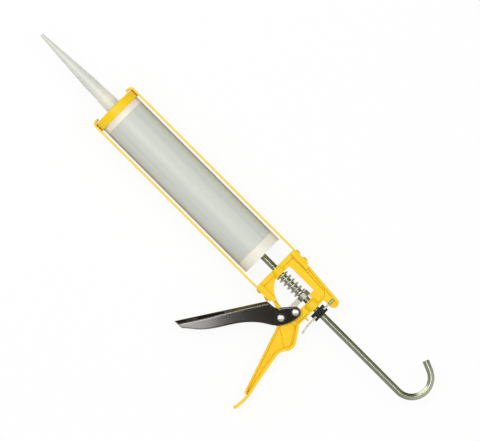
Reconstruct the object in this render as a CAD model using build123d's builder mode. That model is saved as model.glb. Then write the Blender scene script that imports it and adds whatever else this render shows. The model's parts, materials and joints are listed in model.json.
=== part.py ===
from build123d import *
import os
from math import asin, atan2, cos, degrees, hypot, radians, sin, sqrt

# Caulking gun lying on its right side with a tube of sealant in its cradle, in millimetres.
# Gun axes while modelling: x back along the rod from the casting's front face,
# y up from the grip to the hook, z out of the gun's left side.

# Tube of sealant
TUBE_DIAMETER = 47.5
TUBE_LENGTH = 213.0
TUBE_WALL = 1.4
TUBE_HEAD = 2.4
TUBE_TO_CASTING = 18.0
NECK_DIAMETER = 13.0
NECK_BORE = 8.5
NECK_LENGTH = 14.0
PISTON_LENGTH = 15.0
PISTON_FLOOR = 2.4
PISTON_SKIRT = 1.5
PISTON_CLEARANCE = 0.25
SEALANT_LENGTH = 98.0
SEALANT_CLEARANCE = 0.05
PISTON_GAP = 0.3

# Nozzle
NOZZLE_LENGTH = 106.0
NOZZLE_TIP = 3.4
NOZZLE_CONE = 66.0
NOZZLE_COLLAR = 14.3
NOZZLE_SKIRT = 16.4
NOZZLE_SKIRT_LENGTH = 18.5
NOZZLE_FLANGE = 20.0
NOZZLE_FLANGE_DEPTH = 3.0
NOZZLE_STEP = 0.6
NOZZLE_WALL = 1.2
OUTLET_DIAMETER = 2.2
OUTLET_LENGTH = 8.0
NECK_CLEARANCE = 0.2

# Cradle: front ring and two strap rails
RING_DEPTH = 9.2
RING_WALL = 1.6
RING_LIP = 2.6
RING_CLEARANCE = 0.1
RAIL_WIDTH = 16.0
RAIL_THICKNESS = 2.0
RAIL_CLEARANCE = 2.25
RAIL_SEAT = 20.4
RAIL_HOOK = 8.0
RAIL_HOOK_RADIUS = 4.5
RAIL_HOOK_GAP = 1.2
RIVET_HEAD = 5.8
RIVET_RISE = 1.7
RIVET_SHANK = 4.0
RIVET_DEPTH = 4.0
RIVET_FIRST = 4.8
RIVET_PITCH = 10.6
RIVET_CLEARANCE = 0.05

# Body casting
BODY_LENGTH = 58.1
BODY_WIDTH = 13.0
BODY_WEB = 9.0
BODY_EDGE = 0.9
SEAT_LENGTH = 24.0
SEAT_WIDTH = 17.0
SEAT_THICKNESS = 4.6
FRONT_RIM = 5.4
REAR_RIM = 2.3
FRONT_BOSS = 8.6
REAR_BOSS = 8.4
BOSS_WALL = 4.2
ROD_BORE_CLEARANCE = 0.3
WINDOW_TOP = 12.0
WINDOW_SILL = 8.2
WINDOW_TAB_BOTTOM = 4.9
WINDOW_BOTTOM = 23.6
WINDOW_FLOOR = 5.8
WINDOW_CORNER = 2.8
REAR_COLUMN = 10.3
PANEL_RISE = 6.1
PANEL_CORNER = 5.5
PANEL_DRAFT = 20.0
ARM_OVERHANG = 9.2
ARM_DROP = 3.4
ARM_NOSE_RADIUS = 5.2
ARM_WEB = 6.4
GROOVE_DROP = 2.3
GROOVE_WIDTH = 0.7
GROOVE_DEPTH = 0.8
DIMPLE_RADIUS = 2.3
DIMPLE_DEPTH = 1.2
LUG_RADIUS = 7.2
LUG_WIDTH = 17.0
GRIP_START = 22.8
GRIP_REACH = 131.2
GRIP_FLANGE = 2.8
GRIP_FLANGE_WIDTH = 20.0
GRIP_WEB = 8.0
GRIP_PANEL_WEB = 10.0
STOP_LENGTH = 3.9
STOP_HEIGHT = 1.8
STOP_WIDTH = 8.0
STOP_DROP = 14.0

# Hex rod with hanging hook, and its push plate
ROD_FLATS = 7.0
ROD_HOOK_START = 177.7
ROD_HOOK_RADIUS = 19.6
ROD_HOOK_TURN = 157.0
ROD_HOOK_END = 11.0
ROD_SPIGOT = 5.0
PLATE_DIAMETER = 38.0
PLATE_THICKNESS = 2.2

# Trigger, a pressed channel on two rivets
PIVOT_SETBACK = 18.3
PIVOT_DROP = 31.7
TRIGGER_REACH = 108.4
DRIVE_ARM_X = 6.5
DRIVE_ARM_Y = 14.5
TRIGGER_SHEET = 1.6
TRIGGER_CLEARANCE = 0.5
TRIGGER_CORNER = 4.5
TRIGGER_EDGE = 1.0
SLOPE_LOW = 4.3
SLOPE_HIGH = 2.7
SLOPE_DEPTH = 3.2
TRIGGER_EYE = 5.6
PIN_DIAMETER = 5.2
PIN_HEAD = 7.5
PIN_HEAD_RISE = 1.9
PIN_CLEARANCE = 0.05
PIN_ROOM = 1.1

# Drive plates and return spring
DRIVE_PLATE_THICKNESS = 2.9
DRIVE_PLATE_RADIUS = 7.4
DRIVE_NECK_WIDTH = 9.0
DRIVE_PLATE_DROP = 20.4
DRIVE_CLEARANCE = 0.35
DRIVE_PIN_GAP = 0.3
DRIVE_STOP_GAP = 0.4
SPRING_WIRE = 1.7
SPRING_RADIUS = 5.95
SPRING_COILS = 5.5
SPRING_GAP = 0.1

# Release plate and pad
RELEASE_SETBACK = 6.6
RELEASE_SHEET = 1.6
RELEASE_WIDTH = 14.0
RELEASE_RISE = 2.2
RELEASE_BEND = 12.0
RELEASE_TAB = 27.8
RELEASE_LEAN = 2.2
RELEASE_CLEARANCE = 0.4
RELEASE_SLOT = 3.0
PAD_FRONT = 4.3
PAD_REAR = 3.4
PAD_TOP = 8.3
PAD_BOTTOM = 8.9
PAD_WIDTH = 17.0
PAD_WAIST = 5.2
PAD_NOTCH = 2.4
PAD_ROUND = 1.6
PAD_CHEEK = 0.8
PAD_CLEARANCE = 0.5

# Positions that follow from the sizes
tube_radius = TUBE_DIAMETER / 2
tube_bore = tube_radius - TUBE_WALL
tube_rear = -TUBE_TO_CASTING
tube_front = tube_rear - TUBE_LENGTH
tip_x = tube_front - NOZZLE_LENGTH
piston_front = tube_front + TUBE_HEAD + SEALANT_LENGTH + PISTON_GAP
piston_seat = piston_front + PISTON_FLOOR
piston_radius = tube_bore - PISTON_CLEARANCE
plate_front = piston_seat + PISTON_GAP
plate_rear = plate_front + PLATE_THICKNESS
seat = tube_radius + RAIL_CLEARANCE
rail_outer = seat + RAIL_THICKNESS
ring_radius = seat - RING_CLEARANCE
ring_front = tube_front - RING_WALL
rod_corner = ROD_FLATS / sqrt(3)
rod_bore = rod_corner + ROD_BORE_CLEARANCE
boss_radius = rod_bore + BOSS_WALL
pivot_x = BODY_LENGTH - PIVOT_SETBACK
pin_x = pivot_x + DRIVE_ARM_X
pin_y = DRIVE_ARM_Y - PIVOT_DROP
drive_rear = pin_x - PIN_DIAMETER / 2 - DRIVE_PIN_GAP
drive_middle = drive_rear - DRIVE_PLATE_THICKNESS
drive_front = drive_middle - DRIVE_PLATE_THICKNESS
trigger_inner = LUG_WIDTH / 2 + TRIGGER_CLEARANCE
trigger_outer = trigger_inner + TRIGGER_SHEET
arm_length = BODY_LENGTH + ARM_OVERHANG
arm_top = seat - ARM_DROP
nose_y = arm_top - ARM_NOSE_RADIUS
arm_bottom = nose_y - ARM_NOSE_RADIUS
release_x = BODY_LENGTH + RELEASE_SETBACK
release_front = release_x - RELEASE_SHEET / 2
release_rear = release_x + RELEASE_SHEET / 2
release_top = nose_y + RELEASE_RISE
release_pivot = release_top - RELEASE_SHEET / 2

SIDE = Plane.XY
TRIGGER_SIDE = Plane(origin=(pivot_x, -PIVOT_DROP, 0))


# Tube barrel: shoulder and neck in front, open at the rear
with BuildPart() as tube_barrel:
    with BuildSketch(SIDE):
        with BuildLine():
            Polyline(
                (tube_front - NECK_LENGTH, NECK_BORE / 2),
                (tube_front - NECK_LENGTH, NECK_DIAMETER / 2),
                (tube_front, NECK_DIAMETER / 2),
                (tube_front, tube_radius),
                (tube_rear, tube_radius),
                (tube_rear, tube_bore),
                (tube_front + TUBE_HEAD, tube_bore),
                (tube_front + TUBE_HEAD, NECK_BORE / 2),
                close=True,
            )
        make_face()
    revolve(axis=Axis.X)
    shoulder = tube_barrel.edges().filter_by(GeomType.CIRCLE).filter_by(
        lambda e: abs(e.radius - tube_radius) < 0.01)
    fillet(shoulder.sort_by(Axis.X)[0], TUBE_WALL)

# Sealant between the shoulder and the piston
with BuildPart() as sealant:
    with BuildSketch(Plane.YZ.offset(tube_front + TUBE_HEAD)):
        Circle(tube_bore - SEALANT_CLEARANCE)
    extrude(amount=SEALANT_LENGTH)

# Tube piston: cup with a skirt that wipes the bore
with BuildPart() as tube_piston:
    with BuildSketch(SIDE):
        with BuildLine():
            Polyline(
                (piston_front, 0),
                (piston_front, piston_radius - PISTON_SKIRT),
                (piston_front + PISTON_SKIRT, piston_radius),
                (piston_front + PISTON_LENGTH, piston_radius),
                (piston_front + PISTON_LENGTH, piston_radius - PISTON_SKIRT),
                (piston_seat, piston_radius - PISTON_SKIRT),
                (piston_seat, 0),
                close=True,
            )
        make_face()
    revolve(axis=Axis.X)

# Nozzle: cut tip, long cone, collar and screw skirt
collar_front = tip_x + NOZZLE_CONE
skirt_front = tube_front - NOZZLE_SKIRT_LENGTH
socket_radius = NECK_DIAMETER / 2 + NECK_CLEARANCE
socket_front = tube_front - NECK_LENGTH - NECK_CLEARANCE
collar_bore = NOZZLE_COLLAR / 2 - NOZZLE_WALL
with BuildPart() as nozzle:
    with BuildSketch(SIDE):
        with BuildLine():
            Polyline(
                (tip_x, OUTLET_DIAMETER / 2),
                (tip_x, NOZZLE_TIP / 2),
                (collar_front, NOZZLE_COLLAR / 2 - NOZZLE_STEP),
                (collar_front + 4 * NOZZLE_STEP, NOZZLE_COLLAR / 2 - NOZZLE_STEP / 2),
                (skirt_front - NOZZLE_STEP, NOZZLE_COLLAR / 2),
                (skirt_front, NOZZLE_SKIRT / 2 - NOZZLE_STEP),
                (tube_front - NOZZLE_FLANGE_DEPTH, NOZZLE_SKIRT / 2),
                (tube_front - NOZZLE_FLANGE_DEPTH * 0.7, NOZZLE_FLANGE / 2),
                (tube_front, NOZZLE_FLANGE / 2),
                (tube_front, socket_radius),
                (socket_front, socket_radius),
                (socket_front, collar_bore),
                (collar_front, collar_bore - NOZZLE_STEP),
                (tip_x + OUTLET_LENGTH, OUTLET_DIAMETER / 2),
                close=True,
            )
        make_face()
    revolve(axis=Axis.X)

# Front ring: collar with an inward lip in front of the tube's shoulder
with BuildPart() as front_ring:
    with BuildSketch(SIDE):
        with BuildLine():
            Polyline(
                (ring_front, tube_radius - RING_LIP),
                (ring_front, ring_radius),
                (ring_front + RING_DEPTH, ring_radius),
                (ring_front + RING_DEPTH, ring_radius - RING_WALL),
                (tube_front, ring_radius - RING_WALL),
                (tube_front, tube_radius - RING_LIP),
                close=True,
            )
        make_face()
    revolve(axis=Axis.X)
    rims = front_ring.edges().filter_by(GeomType.CIRCLE).filter_by(
        lambda e: abs(e.radius - ring_radius) < 0.01)
    fillet(rims.sort_by(Axis.X)[0], RING_WALL * 0.8)
    fillet(front_ring.edges().filter_by(GeomType.CIRCLE).sort_by(Axis.X)[-2:], RING_WALL * 0.4)

# Upper rail: strap from the casting to a rounded hook over the ring
hook_x = ring_front - RAIL_HOOK_GAP - RAIL_THICKNESS
rivet_stations = [RIVET_FIRST, RIVET_FIRST + RIVET_PITCH]
with BuildPart() as upper_rail:
    with BuildSketch(SIDE):
        with BuildLine():
            Polyline(
                (RAIL_SEAT, seat),
                (RAIL_SEAT, rail_outer),
                (hook_x, rail_outer),
                (hook_x, rail_outer - RAIL_HOOK),
                (hook_x + RAIL_THICKNESS, rail_outer - RAIL_HOOK),
                (hook_x + RAIL_THICKNESS, seat),
                close=True,
            )
        make_face()
    extrude(amount=RAIL_WIDTH / 2, both=True)
    along_z = upper_rail.edges().filter_by(Axis.Z)
    outer_bend = along_z.sort_by_distance((hook_x, rail_outer, 0))[0]
    fillet(outer_bend, RAIL_HOOK_RADIUS)
    along_z = upper_rail.edges().filter_by(Axis.Z)
    inner_bend = along_z.sort_by_distance((hook_x + RAIL_THICKNESS, seat, 0))[0]
    fillet(inner_bend, RAIL_HOOK_RADIUS - RAIL_THICKNESS)
    tip_corners = upper_rail.edges().filter_by(Axis.X).group_by(Axis.Y)[0]
    fillet(tip_corners, RAIL_WIDTH / 4)
    with BuildSketch(Plane.XZ.offset(-seat)):
        with Locations(*[(x, 0) for x in rivet_stations]):
            Circle(RIVET_SHANK / 2 + RIVET_CLEARANCE)
    extrude(amount=-RAIL_THICKNESS, mode=Mode.SUBTRACT)

# Lower rail: the same strap below the tube
with BuildPart() as lower_rail:
    add(upper_rail.part)
    mirror(about=Plane.XZ, mode=Mode.REPLACE)

# Rivets of the rails, two above and two below
with BuildPart() as rail_rivets:
    for side in (1, -1):
        for x in rivet_stations:
            with Locations(Plane(origin=(x, side * rail_outer, 0), z_dir=(0, side, 0))):
                Cylinder(RIVET_HEAD / 2, RIVET_RISE, align=(Align.CENTER, Align.CENTER, Align.MIN))
                Cylinder(RIVET_SHANK / 2, RAIL_THICKNESS + RIVET_DEPTH,
                         align=(Align.CENTER, Align.CENTER, Align.MAX))
    heads = rail_rivets.edges().filter_by(GeomType.CIRCLE).filter_by(
        lambda e: abs(abs(e.center().Y) - rail_outer - RIVET_RISE) < 0.01)
    fillet(heads, RIVET_RISE * 0.75)

# Body casting
arm_run = hypot(arm_length - SEAT_LENGTH, nose_y - seat)
arm_slope = atan2(nose_y - seat, arm_length - SEAT_LENGTH) + asin(ARM_NOSE_RADIUS / arm_run)
nose_top = (
    arm_length - ARM_NOSE_RADIUS * sin(arm_slope),
    nose_y + ARM_NOSE_RADIUS * cos(arm_slope),
)
body_half = BODY_WIDTH / 2
panel_rear = BODY_LENGTH - REAR_RIM
window_rear = BODY_LENGTH - REAR_COLUMN
window_tab = drive_rear + DRIVE_STOP_GAP
window_pin = pin_x + PIN_DIAMETER / 2 + PIN_ROOM
window_floor = pivot_x - WINDOW_FLOOR
grip_top = (BODY_LENGTH, -GRIP_START)


def grip(back, down):
    """A point of the grip, in shares of its reach, behind the body's rear face and below the rod."""
    return (BODY_LENGTH + back * GRIP_REACH, -down * GRIP_REACH)


def lug(back, up):
    """A point round the pivot lug, in shares of its radius."""
    return (pivot_x + back * LUG_RADIUS, up * LUG_RADIUS - PIVOT_DROP)


with BuildPart() as body_casting:
    # Side outline of body, arm and grip
    with BuildSketch(SIDE):
        with BuildLine():
            Polyline((SEAT_LENGTH, -seat), (0, -seat), (0, seat), (SEAT_LENGTH, seat), nose_top)
            ThreePointArc(nose_top, (arm_length + ARM_NOSE_RADIUS, nose_y), (arm_length, arm_bottom))
            Polyline((arm_length, arm_bottom), (BODY_LENGTH, arm_bottom), grip_top)
            Polyline(
                grip_top,
                grip(0.0678, 0.2927),
                grip(0.0816, 0.3392),
                grip(0.0602, 0.3933),
                grip(0.0373, 0.4649),
                grip(0.0983, 0.8506),
                grip(0.0745, 0.8540),
                grip(0.0690, 0.8500),
                grip(0.0671, 0.8420),
                lug(0.53, -1.264),
            )
            ThreePointArc(lug(0.53, -1.264), lug(-0.64, -0.78), lug(-0.944, 0.333))
            Line(lug(-0.944, 0.333), (SEAT_LENGTH, -seat))
        make_face()
    extrude(amount=body_half, both=True)
    outline = body_casting.faces().filter_by(Axis.Z).edges()
    fillet(outline.filter_by(lambda e: e.center().X > SEAT_LENGTH and e.center().Y > 0), BODY_EDGE)
    front_line = grip(0.0671, 0.8420)
    outline = body_casting.faces().filter_by(Axis.Z).edges()
    fillet(outline.filter_by(lambda e: e.center().X < front_line[0] and e.center().Y < -2 * GRIP_START),
           BODY_EDGE)

    # Recessed panels on both sides: body, head of the grip, grip
    for side in (1, -1):
        with BuildSketch(SIDE.offset(side * BODY_WEB / 2)):
            with BuildLine() as body_panel:
                Polyline(
                    (FRONT_RIM, SEAT_THICKNESS - seat),
                    (FRONT_RIM, seat - SEAT_THICKNESS),
                    (panel_rear, arm_bottom + PANEL_RISE),
                    (panel_rear, -GRIP_START),
                    (SEAT_LENGTH, -WINDOW_BOTTOM),
                    close=True,
                )
            make_face()
            corners = body_panel.vertices()
            fillet(corners.sort_by_distance((panel_rear, arm_bottom + PANEL_RISE))[0], PANEL_CORNER)
            fillet(corners.sort_by_distance((FRONT_RIM, seat))[0], WINDOW_CORNER)
        extrude(amount=side * (body_half - BODY_WEB / 2), taper=-PANEL_DRAFT, mode=Mode.SUBTRACT)
        with BuildSketch(SIDE.offset(side * GRIP_PANEL_WEB / 2)):
            with BuildLine() as head_panel:
                Polyline(
                    grip(-0.105, 0.215),
                    grip(-0.0053, 0.215),
                    grip(0.0560, 0.297),
                    grip(0.0660, 0.3460),
                    grip(0.0380, 0.3850),
                    grip(-0.0960, 0.2960),
                    close=True,
                )
            make_face()
            fillet(head_panel.vertices().sort_by(Axis.X)[-2:], PANEL_CORNER / 4)
        extrude(amount=side * (body_half - GRIP_PANEL_WEB / 2), taper=-PANEL_DRAFT, mode=Mode.SUBTRACT)
        with BuildSketch(SIDE.offset(side * GRIP_WEB / 2)):
            with BuildLine() as grip_panel:
                Polyline(
                    grip(-0.0930, 0.2990),
                    grip(0.0360, 0.3880),
                    grip(0.0270, 0.4649),
                    grip(0.0650, 0.7012),
                    grip(0.0860, 0.8240),
                    grip(0.0780, 0.8130),
                    close=True,
                )
            make_face()
        extrude(amount=side * (body_half - GRIP_WEB / 2), taper=-PANEL_DRAFT, mode=Mode.SUBTRACT)
        # Groove under the arm's top edge
        with BuildSketch(SIDE.offset(side * (body_half - GROOVE_DEPTH))):
            with BuildLine():
                Polyline(
                    (SEAT_LENGTH, seat - GROOVE_DROP),
                    (release_x - RELEASE_SLOT, arm_top - GROOVE_DROP),
                    (release_x - RELEASE_SLOT, arm_top - GROOVE_DROP - GROOVE_WIDTH),
                    (SEAT_LENGTH, seat - GROOVE_DROP - GROOVE_WIDTH),
                    close=True,
                )
            make_face()
        extrude(amount=side * BODY_WIDTH, mode=Mode.SUBTRACT)

    # Seats under the rails
    for side in (1, -1):
        with BuildSketch(SIDE):
            with Locations((0, side * seat)):
                Rectangle(SEAT_LENGTH, SEAT_THICKNESS,
                          align=(Align.MIN, Align.MAX if side > 0 else Align.MIN))
        extrude(amount=SEAT_WIDTH / 2, both=True)

    # Wide rear flange of the grip, running on as the tail
    with BuildSketch(SIDE):
        with BuildLine():
            slope = Line(grip_top, grip(0.0785, 0.2904))
            bulge = TangentArc(slope @ 1, grip(0.0709, 0.3963), tangent=slope % 1)
            hollow = TangentArc(bulge @ 1, grip(0.0476, 0.4741), tangent=bulge % 1)
            palm = TangentArc(hollow @ 1, grip(0.1113, 0.8102), tangent=hollow % 1)
            TangentArc(palm @ 1, grip(0.1075, 1.0), tangent=palm % 1)
            offset(amount=GRIP_FLANGE, side=Side.RIGHT)
        tail = make_face()
        fillet(tail.vertices().sort_by(Axis.Y)[:2], GRIP_FLANGE * 0.48)
    extrude(amount=GRIP_FLANGE_WIDTH / 2, both=True)

    # Bosses that the rod runs through
    with BuildSketch(Plane.YZ):
        Circle(boss_radius)
    extrude(amount=FRONT_BOSS)
    with BuildSketch(Plane.YZ.offset(BODY_LENGTH - REAR_BOSS)):
        Circle(boss_radius)
    extrude(amount=REAR_BOSS)

    # Lug for the trigger's pivot
    with BuildSketch(TRIGGER_SIDE):
        Circle(LUG_RADIUS)
    extrude(amount=LUG_WIDTH / 2, both=True)

    # Stop behind the body for the release plate
    with BuildSketch(SIDE):
        with Locations((panel_rear, -STOP_DROP)):
            Rectangle(STOP_LENGTH + REAR_RIM, STOP_HEIGHT, align=(Align.MIN, Align.CENTER))
    extrude(amount=STOP_WIDTH / 2, both=True)

    # Window for the spring and the drive plates
    with BuildSketch(SIDE):
        with BuildLine() as window:
            Polyline(
                (FRONT_BOSS, -WINDOW_SILL),
                (FRONT_BOSS, WINDOW_TOP),
                (window_tab, WINDOW_TOP),
                (window_tab, WINDOW_TAB_BOTTOM),
                (window_rear, WINDOW_TAB_BOTTOM),
                (window_rear, pin_y + PIN_DIAMETER),
                (window_pin, pin_y + PIN_DIAMETER / 2 + PIN_ROOM),
                (window_pin, -WINDOW_BOTTOM),
                (window_floor, -WINDOW_BOTTOM),
            )
            TangentArc((window_floor, -WINDOW_BOTTOM), (FRONT_BOSS, -WINDOW_SILL), tangent=(-1, 0))
        make_face()
        corners = window.vertices()
        fillet(corners.sort_by_distance((FRONT_BOSS, WINDOW_TOP))[0], WINDOW_CORNER)
        fillet(corners.sort_by_distance((window_tab, WINDOW_TOP))[0], WINDOW_CORNER / 2)
    extrude(amount=SEAT_WIDTH, both=True, mode=Mode.SUBTRACT)

    # Rod bore, pivot bore and rivet holes
    with BuildSketch(Plane.YZ):
        Circle(rod_bore)
    extrude(amount=BODY_LENGTH, mode=Mode.SUBTRACT)
    with BuildSketch(TRIGGER_SIDE):
        Circle(PIN_DIAMETER / 2 + PIN_CLEARANCE)
    extrude(amount=LUG_WIDTH, both=True, mode=Mode.SUBTRACT)
    for side in (1, -1):
        for x in rivet_stations:
            with Locations(Plane(origin=(x, side * seat, 0), z_dir=(0, -side, 0))):
                Cylinder(RIVET_SHANK / 2 + RIVET_CLEARANCE, RIVET_DEPTH + RIVET_CLEARANCE,
                         align=(Align.CENTER, Align.CENTER, Align.MIN), mode=Mode.SUBTRACT)

    # Slots in the arm's sides for the release plate's prongs, and the dimple in its nose
    for side in (1, -1):
        with BuildSketch(SIDE.offset(side * ARM_WEB / 2)):
            with Locations((release_x, release_top + RELEASE_CLEARANCE)):
                Rectangle(RELEASE_SLOT, ARM_NOSE_RADIUS * 2, align=(Align.CENTER, Align.MAX))
        extrude(amount=side * BODY_WIDTH, mode=Mode.SUBTRACT)
        with BuildSketch(SIDE.offset(side * (body_half - DIMPLE_DEPTH))):
            with Locations((arm_length + DIMPLE_RADIUS / 2, nose_y)):
                Circle(DIMPLE_RADIUS)
        extrude(amount=side * BODY_WIDTH, mode=Mode.SUBTRACT)

# Hex rod with its hanging hook
with BuildPart() as push_rod:
    with BuildLine() as rod_path:
        rod_line = Line((plate_rear, 0), (ROD_HOOK_START, 0))
        rod_arc = JernArc(rod_line @ 1, rod_line % 1, ROD_HOOK_RADIUS, ROD_HOOK_TURN)
        Line(rod_arc @ 1, rod_arc @ 1 + (rod_arc % 1) * ROD_HOOK_END)
    with BuildSketch(Plane(origin=(plate_rear, 0, 0), x_dir=(0, 0, 1), z_dir=(1, 0, 0))):
        RegularPolygon(rod_corner, 6)
    sweep(path=rod_path.wires()[0])
    with BuildSketch(Plane.YZ.offset(plate_rear)):
        Circle(ROD_SPIGOT / 2)
    extrude(amount=-PLATE_THICKNESS)

# Push plate on the rod's front end
with BuildPart() as push_plate:
    with BuildSketch(Plane.YZ.offset(plate_front)):
        Circle(PLATE_DIAMETER / 2)
        Circle(ROD_SPIGOT / 2, mode=Mode.SUBTRACT)
    extrude(amount=PLATE_THICKNESS)
    rim = push_plate.edges().filter_by(GeomType.CIRCLE).filter_by(
        lambda e: abs(e.radius - PLATE_DIAMETER / 2) < 0.01)
    fillet(rim, PLATE_THICKNESS * 0.3)

# Trigger: cheeks that slope in to a front web, which stops below the rail
def lever(back, up):
    """A point of the trigger from its pivot, in shares of its reach."""
    return (back * TRIGGER_REACH, up * TRIGGER_REACH)


trigger_front = lever(-0.2039, 0.0185)
trigger_tip = lever(-0.6863, -0.7279)
trigger_heel = lever(-0.5895, -0.7251)
eye = (DRIVE_ARM_X, DRIVE_ARM_Y)
eye_front = (DRIVE_ARM_X - TRIGGER_EYE * 0.72, DRIVE_ARM_Y + TRIGGER_EYE * 0.694)
trigger_rear = [
    trigger_heel,
    lever(-0.4769, -0.6301),
    lever(-0.3404, -0.4594),
    lever(-0.2334, -0.2980),
    lever(-0.0673, -0.1421),
    lever(0.0295, -0.0747),
    lever(0.0969, 0.0434),
    (DRIVE_ARM_X + TRIGGER_EYE, DRIVE_ARM_Y),
]
web_run = hypot(trigger_front[0] - trigger_tip[0], trigger_front[1] - trigger_tip[1])
web_dir = (
    (trigger_front[0] - trigger_tip[0]) / web_run,
    (trigger_front[1] - trigger_tip[1]) / web_run,
)
web_line = Axis((0, 0, 0), (web_dir[0], web_dir[1], 0))


def web(along, depth):
    """A point of the trigger's side by its share of the web from the tip and its depth behind it."""
    return (
        trigger_tip[0] + along * web_run * web_dir[0] + depth * web_dir[1],
        trigger_tip[1] + along * web_run * web_dir[1] - depth * web_dir[0],
    )


with BuildPart() as channel:
    with BuildSketch(TRIGGER_SIDE):
        with BuildLine():
            Polyline(
                web(-0.2, TRIGGER_SHEET),
                web(1.4, TRIGGER_SHEET),
                lever(0.6, 0.4),
                lever(0.6, -1.0),
                close=True,
            )
        make_face()
    extrude(amount=trigger_inner, both=True)
    inner_edges = channel.edges().filter_by(web_line).sort_by(SortBy.LENGTH)[-2:]
    fillet(inner_edges, TRIGGER_CORNER)

with BuildPart() as slopes:
    for side in (1, -1):
        with BuildSketch(TRIGGER_SIDE.offset(side * trigger_outer)):
            with BuildLine():
                Spline(
                    web(-0.1, SLOPE_LOW),
                    web(0.38, SLOPE_LOW),
                    web(0.72, SLOPE_HIGH),
                    web(1.1, SLOPE_HIGH),
                    tangents=[web_dir, web_dir],
                )
                Polyline(
                    web(1.1, SLOPE_HIGH),
                    web(1.1, -SLOPE_HIGH),
                    web(-0.1, -SLOPE_HIGH),
                    web(-0.1, SLOPE_LOW),
                )
            make_face()
        with BuildSketch(TRIGGER_SIDE.offset(side * (trigger_outer - SLOPE_DEPTH))):
            with BuildLine():
                Polyline(
                    web(-0.1, 0),
                    web(1.1, 0),
                    web(1.1, -SLOPE_HIGH),
                    web(-0.1, -SLOPE_HIGH),
                    close=True,
                )
            make_face()
        loft(ruled=True)

with BuildPart() as trigger:
    with BuildSketch(TRIGGER_SIDE):
        with BuildLine():
            Polyline(lever(-0.1153, 0.0258), trigger_front, trigger_tip, trigger_heel)
            Spline(*trigger_rear, tangents=[(0.7, 0.72), (0.06, 1)])
            ThreePointArc(
                trigger_rear[-1],
                (DRIVE_ARM_X, DRIVE_ARM_Y + TRIGGER_EYE),
                eye_front,
            )
            Polyline(
                eye_front,
                lever(-0.0572, 0.0803),
                lever(-0.0766, 0.0452),
                lever(-0.1153, 0.0258),
            )
        make_face()
    extrude(amount=trigger_outer, both=True)
    add(slopes.part, mode=Mode.SUBTRACT)
    web_edges = trigger.edges().filter_by(web_line).sort_by(SortBy.LENGTH)[-2:]
    fillet(web_edges, TRIGGER_EDGE)
    add(channel.part, mode=Mode.SUBTRACT)
    with BuildSketch(TRIGGER_SIDE):
        Circle(PIN_DIAMETER / 2)
        with Locations(eye):
            Circle(PIN_DIAMETER / 2)
    extrude(amount=trigger_outer, both=True, mode=Mode.SUBTRACT)

# Pivot rivet and drive rivet through both cheeks of the trigger
with BuildPart() as pivot_rivet:
    with BuildSketch(TRIGGER_SIDE):
        Circle(PIN_DIAMETER / 2)
    extrude(amount=trigger_outer, both=True)
    for side in (1, -1):
        with BuildSketch(TRIGGER_SIDE.offset(side * trigger_outer)):
            Circle(PIN_HEAD / 2)
        extrude(amount=side * PIN_HEAD_RISE)
    domes = pivot_rivet.edges().group_by(Axis.Z)
    fillet(domes[0] + domes[-1], PIN_HEAD_RISE * 0.8)

with BuildPart() as drive_rivet:
    with Locations((DRIVE_ARM_X, DRIVE_ARM_Y, 0)):
        add(pivot_rivet.part)

# Drive plates, one behind the other on the rod
with BuildPart() as drive_plate_rear:
    with BuildSketch(Plane.YZ.offset(drive_middle)):
        Circle(DRIVE_PLATE_RADIUS)
        Rectangle(DRIVE_PLATE_DROP, DRIVE_NECK_WIDTH, align=(Align.MAX, Align.CENTER))
        Circle(rod_corner + DRIVE_CLEARANCE, mode=Mode.SUBTRACT)
    extrude(amount=DRIVE_PLATE_THICKNESS)
    ends = drive_plate_rear.edges().filter_by(Axis.X).group_by(Axis.Y)[0]
    fillet(ends, DRIVE_NECK_WIDTH / 4)

with BuildPart() as drive_plate_front:
    with Locations((-DRIVE_PLATE_THICKNESS, 0, 0)):
        add(drive_plate_rear.part)

# Return spring between the front boss and the drive plates
spring_front = FRONT_BOSS + SPRING_GAP + SPRING_WIRE / 2
spring_rear = drive_front - SPRING_GAP - SPRING_WIRE / 2
spring_length = spring_rear - spring_front
with BuildPart() as return_spring:
    with BuildLine() as coil:
        Helix(
            pitch=spring_length / SPRING_COILS,
            height=spring_length,
            radius=SPRING_RADIUS,
            center=(spring_front, 0, 0),
            direction=(1, 0, 0),
        )
    with BuildSketch(Plane(origin=coil.line @ 0, z_dir=coil.line % 0)):
        Circle(SPRING_WIRE / 2)
    sweep(path=coil.wires()[0], is_frenet=True)

# Release plate: strip forked over the arm, lower end bent back as a thumb tab
with BuildPart() as release_plate:
    with BuildSketch(SIDE):
        with BuildLine():
            Line((release_front, release_pivot), (release_front, -RELEASE_BEND))
            front_bend = TangentArc(
                (release_front, -RELEASE_BEND), (release_front + RELEASE_LEAN, -RELEASE_TAB),
                tangent=(0, -1))
            Line(front_bend @ 1, front_bend @ 1 + (RELEASE_SHEET, RELEASE_SHEET / 4))
            rear_bend = TangentArc(
                (release_rear, -RELEASE_BEND), front_bend @ 1 + (RELEASE_SHEET, RELEASE_SHEET / 4),
                tangent=(0, -1))
            Line((release_rear, -RELEASE_BEND), (release_rear, release_pivot))
            ThreePointArc(
                (release_rear, release_pivot), (release_x, release_top), (release_front, release_pivot))
        make_face()
    extrude(amount=RELEASE_WIDTH / 2, both=True)
    with BuildSketch(Plane.YZ.offset(release_front)):
        Circle(rod_corner + PAD_CLEARANCE)
        with Locations((release_top, 0)):
            Rectangle(release_top - arm_bottom + 2 * RELEASE_CLEARANCE, ARM_WEB + 2 * RELEASE_CLEARANCE,
                      align=(Align.MAX, Align.CENTER))
    extrude(amount=RELEASE_SHEET, mode=Mode.SUBTRACT)

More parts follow.
